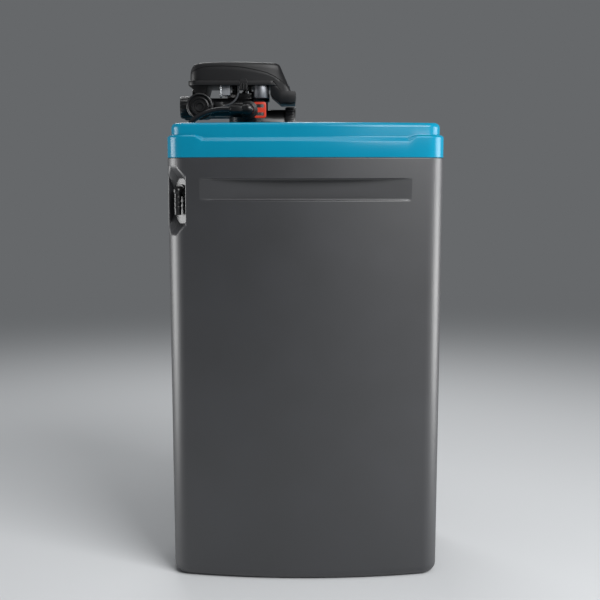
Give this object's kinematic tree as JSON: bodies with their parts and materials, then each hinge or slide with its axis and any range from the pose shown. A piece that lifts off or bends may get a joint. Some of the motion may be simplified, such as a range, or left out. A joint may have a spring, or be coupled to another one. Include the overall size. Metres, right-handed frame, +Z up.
{
  "type": "cabinet water softener",
  "caption": "Cabinet water softener: a grey brine tub under a teal two-tier top cover with a hinged salt hatch, and a black geared control valve with bypass in the rear well.",
  "frame": {"origin": "on the floor under the middle of the tub", "axes": "+X towards the display and salt hatch, -X towards the water pipes, +Z up, -Y the side seen in the picture"},
  "size_m": [0.5, 0.36, 0.92],
  "materials": {
    "tub_plastic": "satin, fine moulded grain",
    "cover_plastic": "semi-gloss",
    "black_plastic": "satin",
    "dark_plastic": "satin",
    "tube_plastic": "smooth",
    "button_plastic": "satin",
    "grey_plastic": "satin",
    "white_plastic": "satin",
    "clip_plastic": "semi-gloss",
    "rubber_seal": "matte",
    "vessel_shell": "satin",
    "resin_beads": "granular",
    "valve_ceramic": "lapped",
    "steel": "brushed",
    "motor_steel": "plated",
    "pinion_brass": "machined",
    "lens": "polished",
    "display": "matte",
    "board": "matte"
  },
  "bodies": {
    "frame": {"cabinet_tub": "tub_plastic", "top_cover": "cover_plastic", "overflow_elbow": "black_plastic", "overflow_nut": "black_plastic", "well_cap": "black_plastic", "valve_body": "black_plastic", "disc_cap": "black_plastic", "valve_hood": "black_plastic", "hood_latches": "black_plastic", "brine_elbow": "black_plastic", "drain_elbow": "black_plastic", "bypass_body": "black_plastic", "vessel_foot": "black_plastic", "control_base": "dark_plastic", "power_inlet": "dark_plastic", "injector_cap": "dark_plastic", "tube_nut": "dark_plastic", "meter_plug": "dark_plastic", "union_nuts": "dark_plastic", "brine_tube": "tube_plastic", "meter_cable": "tube_plastic", "position_sensor": "grey_plastic", "injector": "grey_plastic", "brine_well": "white_plastic", "brine_inlet": "white_plastic", "float_rod": "white_plastic", "riser_tube": "white_plastic", "lower_distributor": "white_plastic", "upper_distributor": "white_plastic", "port_clips": "clip_plastic", "overflow_gasket": "rubber_seal", "neck_seal": "rubber_seal", "union_seals": "rubber_seal", "resin_vessel": "vessel_shell", "resin_bed": "resin_beads", "fixed_disc": "valve_ceramic", "hatch_pins": "steel", "cap_screws": "steel", "base_screws": "steel", "idler_axle": "steel", "turbine_axle": "steel", "drive_motor": "motor_steel", "pipe_tails": "pinion_brass", "display_lens": "lens", "display_module": "display", "circuit_board": "board"},
    "hatch": {"salt_hatch": "cover_plastic"},
    "rotor": {"main_gear": "white_plastic", "drive_shaft": "white_plastic", "moving_disc": "valve_ceramic"},
    "idler": {"idler_gear": "white_plastic"},
    "pinion": {"motor_pinion": "pinion_brass"},
    "bypass": {"bypass_spool": "grey_plastic", "bypass_knob": "dark_plastic"},
    "turbine": {"meter_turbine": "white_plastic"},
    "float": {"brine_float": "white_plastic"},
    "key_1": {"button_1": "button_plastic"},
    "key_2": {"button_2": "button_plastic"},
    "key_3": {"button_3": "button_plastic"},
    "key_4": {"button_4": "button_plastic"}
  },
  "joints": [
    {"name": "hatch_hinge", "type": "hinge", "parent": "frame", "child": "hatch", "pos_m": [0.02, 0, 0.803], "axis": [0, -1, 0], "range_deg": [0, 95]},
    {"name": "valve_turn", "type": "hinge", "parent": "frame", "child": "rotor", "pos_m": [-0.105, 0, 0.88], "axis": [0, 0, 1], "continuous": true},
    {"name": "idler_turn", "type": "hinge", "parent": "frame", "child": "idler", "pos_m": [-0.07468, -0.01772, 0.89], "axis": [0, 0, 1], "continuous": true},
    {"name": "pinion_turn", "type": "hinge", "parent": "frame", "child": "pinion", "pos_m": [-0.08, -0.048, 0.885], "axis": [0, 0, 1], "continuous": true},
    {"name": "bypass_turn", "type": "hinge", "parent": "frame", "child": "bypass", "pos_m": [-0.189, 0, 0.84], "axis": [0, -1, 0], "range_deg": [0, 90]},
    {"name": "meter_spin", "type": "hinge", "parent": "frame", "child": "turbine", "pos_m": [-0.157, -0.032, 0.84], "axis": [1, 0, 0], "continuous": true},
    {"name": "float_rise", "type": "slide", "parent": "frame", "child": "float", "axis": [0, 0, 1], "range_m": [0, 0.15]},
    {"name": "key_1_press", "type": "slide", "parent": "frame", "child": "key_1", "axis": [-0.9202, 0, -0.3916], "range_m": [0, 0.001], "stiffness_N_per_m": 400, "springref_m": -0.0005},
    {"name": "key_2_press", "type": "slide", "parent": "frame", "child": "key_2", "axis": [-0.9202, 0, -0.3916], "range_m": [0, 0.001], "stiffness_N_per_m": 400, "springref_m": -0.0005},
    {"name": "key_3_press", "type": "slide", "parent": "frame", "child": "key_3", "axis": [-0.9202, 0, -0.3916], "range_m": [0, 0.001], "stiffness_N_per_m": 400, "springref_m": -0.0005},
    {"name": "key_4_press", "type": "slide", "parent": "frame", "child": "key_4", "axis": [-0.9202, 0, -0.3916], "range_m": [0, 0.001], "stiffness_N_per_m": 400, "springref_m": -0.0005}
  ],
  "couplings": [
    {"joint": "idler_turn", "follows": "valve_turn", "ratio": -3},
    {"joint": "pinion_turn", "follows": "valve_turn", "ratio": 7.5}
  ]
}
